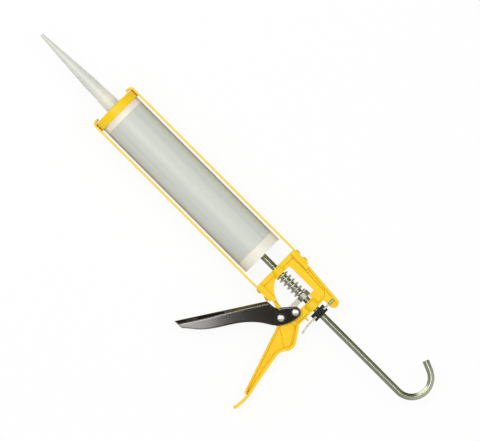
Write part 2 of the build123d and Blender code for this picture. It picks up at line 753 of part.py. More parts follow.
# Release pad: block moulded round the plate's waist
with BuildPart() as release_pad:
    with BuildSketch(SIDE):
        with BuildLine():
            Polyline(
                (release_x - PAD_FRONT, -PAD_BOTTOM),
                (release_x - PAD_FRONT, PAD_TOP),
                (release_x + PAD_REAR, PAD_TOP),
                (release_x + PAD_REAR, -PAD_BOTTOM),
                close=True,
            )
        make_face()
    extrude(amount=PAD_WIDTH / 2, both=True)
    fillet(release_pad.edges().filter_by(Axis.X), PAD_ROUND)
    with BuildSketch(SIDE):
        with Locations((release_x + (PAD_REAR - PAD_FRONT) / 2, 0)):
            Rectangle(PAD_FRONT + PAD_REAR - 2 * PAD_CHEEK, 2 * PAD_WAIST - PAD_CHEEK)
    extrude(amount=PAD_WIDTH / 2 + PAD_CHEEK, both=True)
    with BuildSketch(SIDE):
        with Locations((release_x, PAD_WAIST)):
            Rectangle(PAD_NOTCH, PAD_TOP, align=(Align.CENTER, Align.MIN))
        with Locations((release_x, -PAD_WAIST)):
            Rectangle(PAD_NOTCH, PAD_BOTTOM, align=(Align.CENTER, Align.MAX))
    extrude(amount=PAD_WIDTH, both=True, mode=Mode.SUBTRACT)
    with BuildSketch(SIDE):
        with Locations((release_x, 0)):
            Rectangle(RELEASE_SHEET, PAD_TOP + PAD_BOTTOM)
    extrude(amount=RELEASE_WIDTH / 2, both=True, mode=Mode.SUBTRACT)
    with BuildSketch(Plane.YZ.offset(release_x - PAD_FRONT)):
        Circle(rod_corner + PAD_CLEARANCE)
    extrude(amount=PAD_FRONT + PAD_REAR, mode=Mode.SUBTRACT)

# The gun lies on its right side, on the front ring and the end of the grip's tail
tail_half = GRIP_FLANGE_WIDTH / 2
roll = degrees(asin(ring_radius / hypot(GRIP_REACH, tail_half)) - atan2(tail_half, GRIP_REACH))
LYING = Location((-tip_x, 0, 0), (roll, 0, 0))

tube_barrel.part.label = "tube_barrel"
sealant.part.label = "sealant"
tube_piston.part.label = "tube_piston"
nozzle.part.label = "nozzle"
front_ring.part.label = "front_ring"
upper_rail.part.label = "upper_rail"
lower_rail.part.label = "lower_rail"
rail_rivets.part.label = "rail_rivets"
body_casting.part.label = "body_casting"
push_rod.part.label = "push_rod"
push_plate.part.label = "push_plate"
trigger.part.label = "trigger"
pivot_rivet.part.label = "pivot_rivet"
drive_rivet.part.label = "drive_rivet"
drive_plate_front.part.label = "drive_plate_front"
drive_plate_rear.part.label = "drive_plate_rear"
return_spring.part.label = "return_spring"
release_plate.part.label = "release_plate"
release_pad.part.label = "release_pad"

pieces = [
    tube_barrel, sealant, tube_piston, nozzle, front_ring, upper_rail, lower_rail, rail_rivets,
    body_casting, push_rod, push_plate, trigger, pivot_rivet, drive_rivet, drive_plate_front,
    drive_plate_rear, return_spring, release_plate, release_pad,
]
os.makedirs("parts", exist_ok=True)
for piece in pieces:
    lying = piece.part.moved(LYING)
    lying.label = piece.part.label
    export_step(lying, f"parts/{piece.part.label}.step")
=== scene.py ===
import json
from math import cos, radians, sin

import bmesh
import bpy
from bpy.props import FloatProperty, FloatVectorProperty, PointerProperty
from bpy.types import Operator, Panel, PropertyGroup
from mathutils import Matrix, Vector


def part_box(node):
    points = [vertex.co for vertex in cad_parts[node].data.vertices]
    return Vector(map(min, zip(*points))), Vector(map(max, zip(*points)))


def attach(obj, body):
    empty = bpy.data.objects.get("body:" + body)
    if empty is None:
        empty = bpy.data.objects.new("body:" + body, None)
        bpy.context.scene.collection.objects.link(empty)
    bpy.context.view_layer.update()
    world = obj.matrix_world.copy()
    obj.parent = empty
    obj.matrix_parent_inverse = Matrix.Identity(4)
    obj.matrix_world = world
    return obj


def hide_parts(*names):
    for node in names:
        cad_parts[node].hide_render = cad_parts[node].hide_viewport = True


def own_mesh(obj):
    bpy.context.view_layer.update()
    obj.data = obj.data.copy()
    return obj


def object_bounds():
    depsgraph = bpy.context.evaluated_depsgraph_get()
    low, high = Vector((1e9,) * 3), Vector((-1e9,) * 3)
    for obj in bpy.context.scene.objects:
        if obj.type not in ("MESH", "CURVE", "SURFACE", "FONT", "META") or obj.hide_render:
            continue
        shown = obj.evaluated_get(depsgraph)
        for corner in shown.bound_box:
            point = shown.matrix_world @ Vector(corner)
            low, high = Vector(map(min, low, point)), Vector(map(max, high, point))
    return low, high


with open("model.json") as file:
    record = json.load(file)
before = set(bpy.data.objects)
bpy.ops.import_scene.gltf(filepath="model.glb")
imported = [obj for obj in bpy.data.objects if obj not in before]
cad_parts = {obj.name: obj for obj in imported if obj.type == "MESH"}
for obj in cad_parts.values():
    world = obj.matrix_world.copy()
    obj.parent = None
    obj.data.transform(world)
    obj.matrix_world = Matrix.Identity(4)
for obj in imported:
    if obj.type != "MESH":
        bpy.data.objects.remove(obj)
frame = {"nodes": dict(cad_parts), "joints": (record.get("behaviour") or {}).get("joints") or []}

bl_info = {
    "name": "Caulking gun with tube",
    "version": (1, 0, 0),
    "blender": (4, 5, 0),
    "location": "View3D > Sidebar > Caulking gun",
    "description": "Dresses a loaded caulking gun: paint, zinc, printed tube, coil spring and rivets",
    "category": "Object",
}

CAD_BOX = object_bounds()
MM = 0.001

# Gun axes in the shared frame: back along the rod, up from grip to hook, out of the left side
JOINTS = {joint["name"]: joint for joint in frame["joints"]}
ROD_AXIS = Vector((1.0, 0.0, 0.0))
SIDE_AXIS = Vector(JOINTS["trigger_squeeze"]["axis"]).normalized()
UP_AXIS = SIDE_AXIS.cross(ROD_AXIS)
CASTING_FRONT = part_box("body_casting")[0].x
GUN = Matrix((ROD_AXIS, UP_AXIS, SIDE_AXIS)).transposed().to_4x4()
GUN.translation = Vector((CASTING_FRONT, 0.0, 0.0))
# Turns a coil that is wound along +Z to run back along the rod
ALONG_ROD = Matrix(((0, 0, 1), (0, 1, 0), (-1, 0, 0))).to_4x4()


def gun_point(x, y):
    """A point of the gun's middle plane, from millimetres in gun axes to metres in the shared frame."""
    return GUN @ (Vector((x, y, 0.0)) * MM)


def gun_box(node):
    """Lowest and highest corner of a CAD node in gun millimetres."""
    back = GUN.inverted()
    points = [back @ v.co / MM for v in frame["nodes"][node].data.vertices]
    low = Vector(min(p[i] for p in points) for i in range(3))
    high = Vector(max(p[i] for p in points) for i in range(3))
    return low, high


# Places in gun millimetres; the tube's wide part is taken to start where the nozzle ends
BARREL_LOW, BARREL_HIGH = gun_box("tube_barrel")
SPRING_LOW, SPRING_HIGH = gun_box("return_spring")
RIVETS_LOW, RIVETS_HIGH = gun_box("rail_rivets")
TUBE_FRONT = gun_box("nozzle")[1].x
TUBE_REAR = BARREL_HIGH.x
HOOK_CORNER = gun_box("push_rod")[1].xy
PHOTO_CENTRE = (-59.7, 9.1)

# Sizes in millimetres, and one count, that no box gives
NECK_RADIUS = 6.5
THREAD_RIDGE = 0.5
THREAD_PROUD = 0.15
THREAD_FRONT_MARGIN = 1.0
THREAD_MARGINS = 3.0
ROD_CORNER = 0.5
RAIL_RIVET_RISE = 1.7
RAIL_RIVET_SHANK = 2.0
RAIL_RIVET_DEPTH = 6.0
RAIL_RIVETS_IN_ROW = 2
PIN_HEAD_RISE = 1.9
PIN_SHANK = 2.6
SKIRT_LENGTH = 30.0
SKIRT_FADE = 18.0

# End turns, steps and facets of wound wire, and the form and facets of rivets
THREAD_END_SHARE = 0.2
THREAD_STEPS = 48
SPRING_END_TURN = 0.6
SPRING_END_RISE = 0.6
SPRING_STEPS = 36
WIRE_FACETS = 14
HEAD_SEGMENTS = 32
HEAD_RINGS = 16
HEAD_RIM_SHARE = 0.3
HEAD_FLAT_BELOW = -0.05
SHANK_FACETS = 24

# Angles in degrees from which an edge is shaded sharp
NODE_SHARP = 32.0
RIVET_SHARP = 50.0
WIRE_SHARP = 60.0
# Angles in degrees from which an edge is rounded, and within which faces count as one
ROUNDED_FROM = 35.0
FLAT_WITHIN = 0.5
# Distances in metres within which points are merged and faces count as empty
NODE_MERGE = 2e-6
NODE_EMPTY = 1e-6
RIVET_MERGE = 1e-7
RIVET_EMPTY = 1e-8

# Relief and corners of the finishes, and the reach and samples of the mask for shade painted into their
# grooves
RELIEF_DEPTH = 0.1 * MM
CORNER_SAMPLES = 12
CREASE_SHADE_SAMPLES = 16
CREASE_SHADE_REACH = 1.1 * MM
# Scales that draw out lines along the rod, and the share of grain in the tube's relief
METAL_STRETCH = (0.03, 1.0, 1.0)
TUBE_STRETCH = (0.01, 1.0, 1.0)
TUBE_GRAIN = 0.3
# The span of tone over which a colour drifts, and the factors that yellow and black drift between
TONE_LOW = 0.3
TONE_HIGH = 0.7
YELLOW_DRIFT = (0.95, 1.03)
BLACK_DRIFT = (0.8, 1.3)

# The stage: floor and camera distances in metres, paper, sensor and lens in millimetres
FLOOR_REACH = 6.0
PAPER_GREY = (0.92, 0.92, 0.92, 1.0)
PAPER_ROUGHNESS = 0.9
PAPER_WHITE = 0.92
WHITE = (1.0, 1.0, 1.0, 1.0)
CAMERA_AWAY = 6.5
CAMERA_CLIP = 40.0
SENSOR_WIDTH = 36.0
FOCAL_LENGTH = 477.9

# The studio's walls by height, and their shade towards the top of the photo
WALL_STOPS = (
    (0.3, (0.55, 0.56, 0.54)),
    (0.85, (0.9, 0.9, 0.9)),
    (0.995, (0.16, 0.145, 0.11)),
)
FAR_STOPS = (
    (0.2, (1.0, 1.0, 1.0)),
    (0.62, (0.30, 0.335, 0.165)),
    (0.95, (0.10, 0.10, 0.08)),
)
FAR_WAY = (-0.7071, 0.7071, 0.0)

# Lamps over the gun: metres to the photo's right and up, size along both, watts
LAMP_HEIGHT = 2.4
TOP_LAMPS = (
    ("left_lamp", -0.617, 0.1, (1.2, 1.2), 18.8),
    ("right_lamp", 1.2, 0.35, (1.5, 1.5), 20.7),
    ("strip_lamp", -0.14, 0.65, (0.4, 0.9), 6.4),
)
# The lamp for the hook: degrees from the photo's up to its left, and out of the photo's plane
FRONT_LAMP_TURN = 40.0
FRONT_LAMP_RISE = 30.0
FRONT_LAMP_AWAY = 2.2
FRONT_LAMP_SIZE = (1.6, 0.7)
FRONT_LAMP_POWER = 6.2


class GunSizes(PropertyGroup):
    """Sizes of the dressed pieces that a user would change."""

    spring_wire: FloatProperty(
        name="Spring wire", description="Thickness of the return spring's wire",
        default=1.7 * MM, unit="LENGTH", subtype="DISTANCE")
    spring_turns: FloatProperty(
        name="Spring turns", description="Turns of the return spring, closed end turns included",
        default=6.1, min=3.0)
    thread_pitch: FloatProperty(
        name="Neck thread pitch", description="Rise of the neck's screw thread in one turn",
        default=2.6 * MM, unit="LENGTH", subtype="DISTANCE")
    print_front: FloatProperty(
        name="Print front margin", description="Bare band between the tube's shoulder and its print",
        default=15.0 * MM, unit="LENGTH", subtype="DISTANCE")
    print_rear: FloatProperty(
        name="Print rear margin", description="Bare band between the tube's print and its open end",
        default=11.6 * MM, unit="LENGTH", subtype="DISTANCE")
    print_line: FloatProperty(
        name="Print edge line", description="Width of the fine line at both ends of the tube's print",
        default=0.7 * MM, unit="LENGTH", subtype="DISTANCE")


class GunColours(PropertyGroup):
    """Colours of the finishes, in linear values."""

    yellow: FloatVectorProperty(
        name="Yellow paint", description="Gloss paint of casting, rails and ring",
        default=(0.98, 0.635, 0.010), subtype="COLOR", min=0.0, max=1.0)
    # Painted shade: the darker orange the yellow paint goes over to in grooves and inner corners,
    # standing in for the shade there
    crease_shade: FloatVectorProperty(
        name="Yellow in creases", description="Thick gloss paint in grooves and inner corners",
        default=(0.80, 0.46, 0.008), subtype="COLOR", min=0.0, max=1.0)
    black: FloatVectorProperty(
        name="Black paint", description="Gloss paint of the trigger",
        default=(0.0072, 0.0042, 0.0008), subtype="COLOR", min=0.0, max=1.0)
    zinc: FloatVectorProperty(
        name="Zinc", description="Plated steel of the rod and its push plate",
        default=(0.60, 0.63, 0.48), subtype="COLOR", min=0.0, max=1.0)
    plate: FloatVectorProperty(
        name="Plated sheet", description="Zinc of the drive and release plates",
        default=(0.38, 0.365, 0.30), subtype="COLOR", min=0.0, max=1.0)
    bright: FloatVectorProperty(
        name="Bright zinc", description="Plated steel of the spring",
        default=(0.60, 0.62, 0.54), subtype="COLOR", min=0.0, max=1.0)
    rivet: FloatVectorProperty(
        name="Rivet zinc", description="Plated steel of the trigger's rivets",
        default=(0.60, 0.58, 0.54), subtype="COLOR", min=0.0, max=1.0)
    cream: FloatVectorProperty(
        name="Tube plastic", description="Bare plastic of the tube and its piston",
        default=(0.87, 0.84, 0.73), subtype="COLOR", min=0.0, max=1.0)
    print_grey: FloatVectorProperty(
        name="Print grey", description="Plain printed area of the tube",
        default=(0.62, 0.642, 0.588), subtype="COLOR", min=0.0, max=1.0)
    nozzle: FloatVectorProperty(
        name="Nozzle plastic", description="Natural plastic of the nozzle",
        default=(0.70, 0.71, 0.645), subtype="COLOR", min=0.0, max=1.0)
    skirt: FloatVectorProperty(
        name="Nozzle skirt", description="Thick plastic of the nozzle's skirt",
        default=(0.82, 0.80, 0.70), subtype="COLOR", min=0.0, max=1.0)
    print_edge: FloatVectorProperty(
        name="Print edge", description="Fine line at both ends of the tube's print",
        default=(0.66, 0.58, 0.44), subtype="COLOR", min=0.0, max=1.0)
    sealant: FloatVectorProperty(
        name="Sealant", description="Paste in the tube",
        default=(0.8, 0.8, 0.78), subtype="COLOR", min=0.0, max=1.0)
    pad: FloatVectorProperty(
        name="Pad", description="Black moulding on the release plate",
        default=(0.006, 0.0055, 0.005), subtype="COLOR", min=0.0, max=1.0)


def sizes():
    """The sizes as the scene holds them."""
    return bpy.context.scene.gun_sizes


def colours():
    """The colours as the scene holds them."""
    return bpy.context.scene.gun_colours


# Node helpers


def add_node(tree, kind, **inputs):
    """A node with constants on its named sockets, or on attributes where there is no such socket."""
    node = tree.nodes.new(kind)
    for name, value in inputs.items():
        words = name.replace("_", " ")
        socket = next((s for s in node.inputs if s.name.lower() == words.lower()), None)
        if socket is None:
            setattr(node, name, value)
        else:
            socket.default_value = value
    return node


def math_node(tree, operation, a, b=None, clamp=False):
    """One Math node; a and b are sockets or numbers."""
    node = tree.nodes.new("ShaderNodeMath")
    node.operation = operation
    node.use_clamp = clamp
    for socket, value in zip(node.inputs, (a, b)):
        if value is None:
            continue
        if hasattr(value, "is_linked"):
            tree.links.new(value, socket)
        else:
            socket.default_value = value
    return node.outputs[0]


def colour_sockets(sockets):
    """The colour sockets among a Mix node's many."""
    return [socket for socket in sockets if socket.type == "RGBA"]


def colour_ramp(tree, value, stops):
    """A colour read from (position, colour) stops at the value socket."""
    ramp = tree.nodes.new("ShaderNodeValToRGB")
    elements = ramp.color_ramp.elements
    for element, (position, colour) in zip(elements, stops):
        element.position = position
        element.color = (*colour, 1.0)
    for position, colour in stops[len(elements):]:
        elements.new(position).color = (*colour, 1.0)
    tree.links.new(value, ramp.inputs["Fac"])
    return ramp.outputs["Color"]


def tinted(tree, tone, colour, drift):
    """The colour, drifting with the tone socket between a darker and a lighter factor of it."""
    dark = tuple(c * drift[0] for c in colour)
    light = tuple(min(1.0, c * drift[1]) for c in colour)
    return colour_ramp(tree, tone, ((TONE_LOW, dark), (TONE_HIGH, light)))


def mixed(tree, share, first, second):
    """The first colour socket going over to the second by the share socket."""
    mix = add_node(tree, "ShaderNodeMix", data_type="RGBA")
    ends = colour_sockets(mix.inputs)
    tree.links.new(share, mix.inputs["Factor"])
    tree.links.new(first, ends[0])
    tree.links.new(second, ends[1])
    return colour_sockets(mix.outputs)[0]


# Skins: shader groups that several finishes use


def new_skin(name, inputs):
    """An empty shader group with float inputs {name: default} and a skin's three outputs."""
    group = bpy.data.node_groups.new(name, "ShaderNodeTree")
    for label, default in inputs.items():
        socket = group.interface.new_socket(label, in_out="INPUT", socket_type="NodeSocketFloat")
        socket.default_value = default
    for label in ("Height", "Roughness", "Tone"):
        group.interface.new_socket(label, in_out="OUTPUT", socket_type="NodeSocketFloat")
    return group, group.nodes.new("NodeGroupInput"), group.nodes.new("NodeGroupOutput")


def close_skin(group, given, put, height, tone):
    """Puts out height and tone, and a roughness that swings about Gloss by Spread with the tone."""
    swing = math_node(group, "SUBTRACT", tone, 0.5)
    spread = math_node(group, "MULTIPLY", swing, given.outputs["Spread"])
    rough = math_node(group, "ADD", given.outputs["Gloss"], spread, clamp=True)
    group.links.new(height, put.inputs["Height"])
    group.links.new(rough, put.inputs["Roughness"])
    group.links.new(tone, put.inputs["Tone"])


def grained_skin(name, inputs, fine_values, slow_values):
    """A skin of fine grain at the scale given, with slow changes in tone and gloss."""
    group, given, put = new_skin(name, inputs)
    at = add_node(group, "ShaderNodeTexCoord")
    fine = add_node(group, "ShaderNodeTexNoise", **fine_values)
    slow = add_node(group, "ShaderNodeTexNoise", **slow_values)
    group.links.new(at.outputs["Object"], fine.inputs["Vector"])
    group.links.new(at.outputs["Object"], slow.inputs["Vector"])
    group.links.new(given.outputs["Scale"], fine.inputs["Scale"])
    close_skin(group, given, put, fine.outputs["Fac"], slow.outputs["Fac"])
    return group


def paint_skin():
    """Orange peel of sprayed paint: fine ripple, softly changing gloss and a slow drift in tone."""
    found = bpy.data.node_groups.get("paint_skin")
    return found or grained_skin(
        "paint_skin", {"Scale": 900.0, "Gloss": 0.25, "Spread": 0.08},
        {"Detail": 2.0, "Roughness": 0.5}, {"Scale": 28.0, "Detail": 3.0, "Roughness": 0.55})


def moulded_skin():
    """Fine grain of moulded plastic with slow changes in tone and gloss."""
    found = bpy.data.node_groups.get("moulded_skin")
    return found or grained_skin(
        "moulded_skin", {"Scale": 2200.0, "Gloss": 0.4, "Spread": 0.1},
        {"Detail": 2.0, "Roughness": 0.6}, {"Scale": 40.0, "Detail": 3.0, "Roughness": 0.5})


def drawn_metal():
    """Fine lines along the rod's axis, with blotches of plating."""
    found = bpy.data.node_groups.get("drawn_metal")
    if found:
        return found
    group, given, put = new_skin("drawn_metal", {"Lines": 1400.0, "Gloss": 0.28, "Spread": 0.16})
    at = add_node(group, "ShaderNodeTexCoord")
    stretch = add_node(group, "ShaderNodeMapping", Scale=METAL_STRETCH)
    lines = add_node(group, "ShaderNodeTexNoise", Detail=3.0, Roughness=0.6)
    blotch = add_node(group, "ShaderNodeTexNoise", Scale=120.0, Detail=4.0, Roughness=0.6)
    group.links.new(at.outputs["Object"], stretch.inputs["Vector"])
    group.links.new(stretch.outputs["Vector"], lines.inputs["Vector"])
    group.links.new(at.outputs["Object"], blotch.inputs["Vector"])
    group.links.new(given.outputs["Lines"], lines.inputs["Scale"])
    both = math_node(group, "ADD", lines.outputs["Fac"], blotch.outputs["Fac"])
    tone = math_node(group, "MULTIPLY", both, 0.5)
    close_skin(group, given, put, lines.outputs["Fac"], tone)
    return group


# Finishes


def skinned_material(name, skin, values, bump, edge=0.0, **constants):
    """A material with roughness and bump from a skin; edge is the soft radius of its corners.

    Returns it with its tree, shader and skin node, or with three times None if it was made before.
    """
    material = bpy.data.materials.get(name)
    if material:
        return material, None, None, None
    material = bpy.data.materials.new(name)
    material.use_nodes = True
    tree = material.node_tree
    shader = tree.nodes["Principled BSDF"]
    for label, value in constants.items():
        shader.inputs[label.replace("_", " ")].default_value = value
    group = tree.nodes.new("ShaderNodeGroup")
    group.node_tree = skin
    for label, value in values.items():
        group.inputs[label].default_value = value
    relief = add_node(tree, "ShaderNodeBump", Strength=bump, Distance=RELIEF_DEPTH)
    tree.links.new(group.outputs["Height"], relief.inputs["Height"])
    if edge:
        corner = add_node(tree, "ShaderNodeBevel", Radius=edge, samples=CORNER_SAMPLES)
        tree.links.new(corner.outputs["Normal"], relief.inputs["Normal"])
    tree.links.new(relief.outputs["Normal"], shader.inputs["Normal"])
    tree.links.new(group.outputs["Roughness"], shader.inputs["Roughness"])
    return material, tree, shader, group


def one_colour(name, skin, values, colour, drift, bump, edge=0.0, **constants):
    """A skinned material in one colour that drifts with its skin's tone."""
    material, tree, shader, group = skinned_material(name, skin, values, bump, edge, **constants)
    if tree:
        base = tinted(tree, group.outputs["Tone"], colour, drift)
        tree.links.new(base, shader.inputs["Base Color"])
    return material


def shaded_creases(tree):
    """Mask of painted shade from ambient occlusion: 1 deep in a groove or inner corner of the piece, 0 on
    its open faces.
    """
    cover = add_node(tree, "ShaderNodeAmbientOcclusion", Distance=CREASE_SHADE_REACH, samples=CREASE_SHADE_SAMPLES,
                     only_local=True)
    depth = add_node(tree, "ShaderNodeMapRange", From_Min=0.92, From_Max=0.45, To_Min=0.0, To_Max=1.0)
    tree.links.new(cover.outputs["AO"], depth.inputs["Value"])
    return depth.outputs["Result"]


def yellow_paint():
    """Gloss yellow with shade painted into its grooves and inner corners as a deeper orange."""
    material, tree, shader, skin = skinned_material(
        "gloss_yellow", paint_skin(), {"Scale": 700.0, "Gloss": 0.36, "Spread": 0.10}, bump=0.08,
        edge=0.5 * MM, Specular_IOR_Level=0.2, Coat_Weight=0.04, Coat_Roughness=0.12)
    if tree:
        face = tinted(tree, skin.outputs["Tone"], colours().yellow, drift=YELLOW_DRIFT)
        # Painted shade: where the piece closes in, the yellow goes over to the darker orange of the
        # painted shade
        deep = tinted(tree, skin.outputs["Tone"], colours().crease_shade, drift=YELLOW_DRIFT)
        tree.links.new(mixed(tree, shaded_creases(tree), face, deep), shader.inputs["Base Color"])
    return material


def black_paint():
    """Thick gloss black of the trigger, soft over its pressed corners."""
    return one_colour(
        "gloss_black", paint_skin(), {"Scale": 400.0, "Gloss": 0.085, "Spread": 0.03},
        colours().black, drift=BLACK_DRIFT, bump=0.02, edge=2.5 * MM,
        Specular_IOR_Level=0.8, Coat_Weight=1.0, Coat_Roughness=0.06)


def zinc_steel():
    """Zinc on the drawn hex rod and its push plate."""
    return one_colour(
        "drawn_zinc", drawn_metal(), {"Lines": 1500.0, "Gloss": 0.25, "Spread": 0.06},
        colours().zinc, drift=(0.92, 1.06), bump=0.04, edge=0.5 * MM, Metallic=1.0)


def plated_sheet():
    """Zinc on pressed plates, without drawn lines deep enough to see."""
    return one_colour(
        "plated_sheet", drawn_metal(), {"Lines": 700.0, "Gloss": 0.32, "Spread": 0.15},
        colours().plate, drift=(0.9, 1.08), bump=0.05, edge=0.2 * MM, Metallic=0.7)


def bright_zinc():
    """Zinc on spring wire."""
    return one_colour(
        "bright_zinc", drawn_metal(), {"Lines": 900.0, "Gloss": 0.27, "Spread": 0.12},
        colours().bright, drift=(0.88, 1.1), bump=0.06, Metallic=0.7)


def rivet_zinc():
    """Zinc on the trigger's rivets."""
    return one_colour(
        "rivet_zinc", drawn_metal(), {"Lines": 900.0, "Gloss": 0.36, "Spread": 0.12},
        colours().rivet, drift=(0.9, 1.08), bump=0.06, Metallic=1.0)


def pad_moulding():
    """Dull black moulding of the release pad."""
    return one_colour(
        "pad_moulding", moulded_skin(), {"Scale": 1600.0, "Gloss": 0.5, "Spread": 0.12},
        colours().pad, drift=BLACK_DRIFT, bump=0.2, edge=0.4 * MM, Specular_IOR_Level=0.22)


def natural_plastic():
    """Bare cream plastic of the piston."""
    return one_colour(
        "natural_plastic", moulded_skin(), {"Scale": 1500.0, "Gloss": 0.45, "Spread": 0.1},
        colours().cream, drift=(0.96, 1.03), bump=0.08)


def sealant_paste():
    """Dull white paste."""
    return one_colour(
        "sealant_paste", moulded_skin(), {"Scale": 400.0, "Gloss": 0.6, "Spread": 0.1},
        colours().sealant, drift=(0.95, 1.02), bump=0.3)


def nozzle_plastic():
    """Milky plastic that turns warmer and lighter towards the thick skirt."""
    material, tree, shader, skin = skinned_material(
        "milky_nozzle", moulded_skin(), {"Scale": 1500.0, "Gloss": 0.36, "Spread": 0.1}, bump=0.06,
        Specular_IOR_Level=0.45)
    if not tree:
        return material
    at = add_node(tree, "ShaderNodeTexCoord")
    split = add_node(tree, "ShaderNodeSeparateXYZ")
    tree.links.new(at.outputs["Object"], split.inputs["Vector"])
    skirt = CASTING_FRONT + (TUBE_FRONT - SKIRT_LENGTH) * MM
    past = math_node(tree, "SUBTRACT", split.outputs["X"], skirt)
    near = math_node(tree, "DIVIDE", past, SKIRT_FADE * MM, clamp=True)
    thin = tinted(tree, skin.outputs["Tone"], colours().nozzle, drift=(0.96, 1.03))
    thick = tinted(tree, skin.outputs["Tone"], colours().skirt, drift=(0.97, 1.02))
    tree.links.new(mixed(tree, near, thin, thick), shader.inputs["Base Color"])
    return material


def printed_tube():
    """Cream plastic with a plain grey print between two bare bands, drawn lengthwise."""
    material, tree, shader, skin = skinned_material(
        "printed_tube", moulded_skin(), {"Scale": 1200.0, "Gloss": 0.46, "Spread": 0.08}, bump=0.10,
        Specular_IOR_Level=0.5)
    if not tree:
        return material
    front = CASTING_FRONT + TUBE_FRONT * MM + sizes().print_front
    rear = CASTING_FRONT + TUBE_REAR * MM - sizes().print_rear
    at = add_node(tree, "ShaderNodeTexCoord")
    split = add_node(tree, "ShaderNodeSeparateXYZ")
    tree.links.new(at.outputs["Object"], split.inputs["Vector"])
    middle = math_node(tree, "SUBTRACT", split.outputs["X"], (front + rear) / 2)
    past = math_node(tree, "SUBTRACT", math_node(tree, "ABSOLUTE", middle), (rear - front) / 2)
    inside = math_node(tree, "LESS_THAN", past, 0.0)
    line = math_node(tree, "LESS_THAN", math_node(tree, "ABSOLUTE", past), sizes().print_line / 2)
    stretch = add_node(tree, "ShaderNodeMapping", Scale=TUBE_STRETCH)
    streak = add_node(tree, "ShaderNodeTexNoise", Scale=220.0, Detail=3.0, Roughness=0.6)
    tree.links.new(at.outputs["Object"], stretch.inputs["Vector"])
    tree.links.new(stretch.outputs["Vector"], streak.inputs["Vector"])
    grain = math_node(tree, "MULTIPLY", skin.outputs["Height"], TUBE_GRAIN)
    relief = next(node for node in tree.nodes if node.type == "BUMP")
    tree.links.new(math_node(tree, "ADD", grain, streak.outputs["Fac"]), relief.inputs["Height"])
    grey = tinted(tree, streak.outputs["Fac"], colours().print_grey, drift=(0.94, 1.05))
    cream = tinted(tree, skin.outputs["Tone"], colours().cream, drift=(0.97, 1.02))
    fine = tinted(tree, skin.outputs["Tone"], colours().print_edge, drift=(0.95, 1.05))
    printed = mixed(tree, inside, cream, grey)
    tree.links.new(mixed(tree, line, printed, fine), shader.inputs["Base Color"])
    return material


# Mesh helpers


def finish_mesh(mesh, angle):
    """Smooth shading with corners over that angle kept sharp."""
    mesh.polygons.foreach_set("use_smooth", [True] * len(mesh.polygons))
    mesh.set_sharp_from_angle(angle=radians(angle))
    mesh.update()


def new_piece(name, mesh, material, body, replaced):
    """Links a finished mesh as one piece that rides on a body and stands for CAD nodes."""
    mesh.materials.clear()
    mesh.materials.append(material)
    piece = bpy.data.objects.new(name, mesh)
    bpy.context.scene.collection.objects.link(piece)
    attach(piece, body)
    if replaced:
        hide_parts(*replaced)
    return piece


def round_corners(shape, width):
    """Rounds the sharp edges of a merged mesh by that width."""
    flat = radians(FLAT_WITHIN)
    limit = radians(ROUNDED_FROM)
    bmesh.ops.dissolve_limit(shape, angle_limit=flat, verts=shape.verts, edges=shape.edges)
    corners = [e for e in shape.edges if e.is_manifold and e.calc_face_angle() > limit]
    bmesh.ops.bevel(shape, geom=corners, offset=width, offset_type="OFFSET", segments=4, profile=0.5,
                    affect="EDGES", clamp_overlap=True)


def merged_copy(node, name, corner):
    """A plain mesh of a CAD node's form, with loose triangles merged and edges rounded by corner."""
    shape = bmesh.new()
    shape.from_mesh(frame["nodes"][node].data)
    bmesh.ops.remove_doubles(shape, verts=shape.verts, dist=NODE_MERGE)
    bmesh.ops.dissolve_degenerate(shape, dist=NODE_EMPTY, edges=shape.edges)
    if corner:
        round_corners(shape, corner)
    shape.verts.index_update()
    points = [v.co.copy() for v in shape.verts]
    faces = [[v.index for v in f.verts] for f in shape.faces]
    shape.free()
    mesh = bpy.data.meshes.new(name)
    mesh.from_pydata(points, [], faces)
    mesh.validate()
    finish_mesh(mesh, NODE_SHARP)
    return mesh


def dressed_node(node, name, material, body, corner=0.0):
    """The CAD node's own form, merged and smooth, in a finish; corner rounds its sharp edges."""
    return new_piece(name, merged_copy(node, name, corner), material, body, [node])


def joined(name, meshes):
    """Several meshes as one, with doubles merged and faces outwards."""
    shape = bmesh.new()
    for mesh in meshes:
        shape.from_mesh(mesh)
    bmesh.ops.remove_doubles(shape, verts=shape.verts, dist=RIVET_MERGE)
    bmesh.ops.dissolve_degenerate(shape, dist=RIVET_EMPTY, edges=shape.edges)
    bmesh.ops.recalc_face_normals(shape, faces=shape.faces)
    mesh = bpy.data.meshes.new(name)
    shape.to_mesh(mesh)
    shape.free()
    finish_mesh(mesh, RIVET_SHARP)
    return mesh


# Geometry trees


def new_tree(name, inputs):
    """An empty geometry tree with number inputs {name: default}, a material and one output."""
    tree = bpy.data.node_groups.new(name, "GeometryNodeTree")
    for label, default in inputs.items():
        kind = "NodeSocketInt" if isinstance(default, int) else "NodeSocketFloat"
        socket = tree.interface.new_socket(label, in_out="INPUT", socket_type=kind)
        socket.default_value = default
    tree.interface.new_socket("Material", in_out="INPUT", socket_type="NodeSocketMaterial")
    tree.interface.new_socket("Geometry", in_out="OUTPUT", socket_type="NodeSocketGeometry")
    return tree, tree.nodes.new("NodeGroupInput"), tree.nodes.new("NodeGroupOutput")


def close_tree(tree, given, put, geometry):
    """Ends a geometry tree: instances made real and the material set."""
    real = tree.nodes.new("GeometryNodeRealizeInstances")
    finish = tree.nodes.new("GeometryNodeSetMaterial")
    tree.links.new(geometry, real.inputs["Geometry"])
    tree.links.new(real.outputs["Geometry"], finish.inputs["Geometry"])
    tree.links.new(given.outputs["Material"], finish.inputs["Material"])
    tree.links.new(finish.outputs["Geometry"], put.inputs["Geometry"])


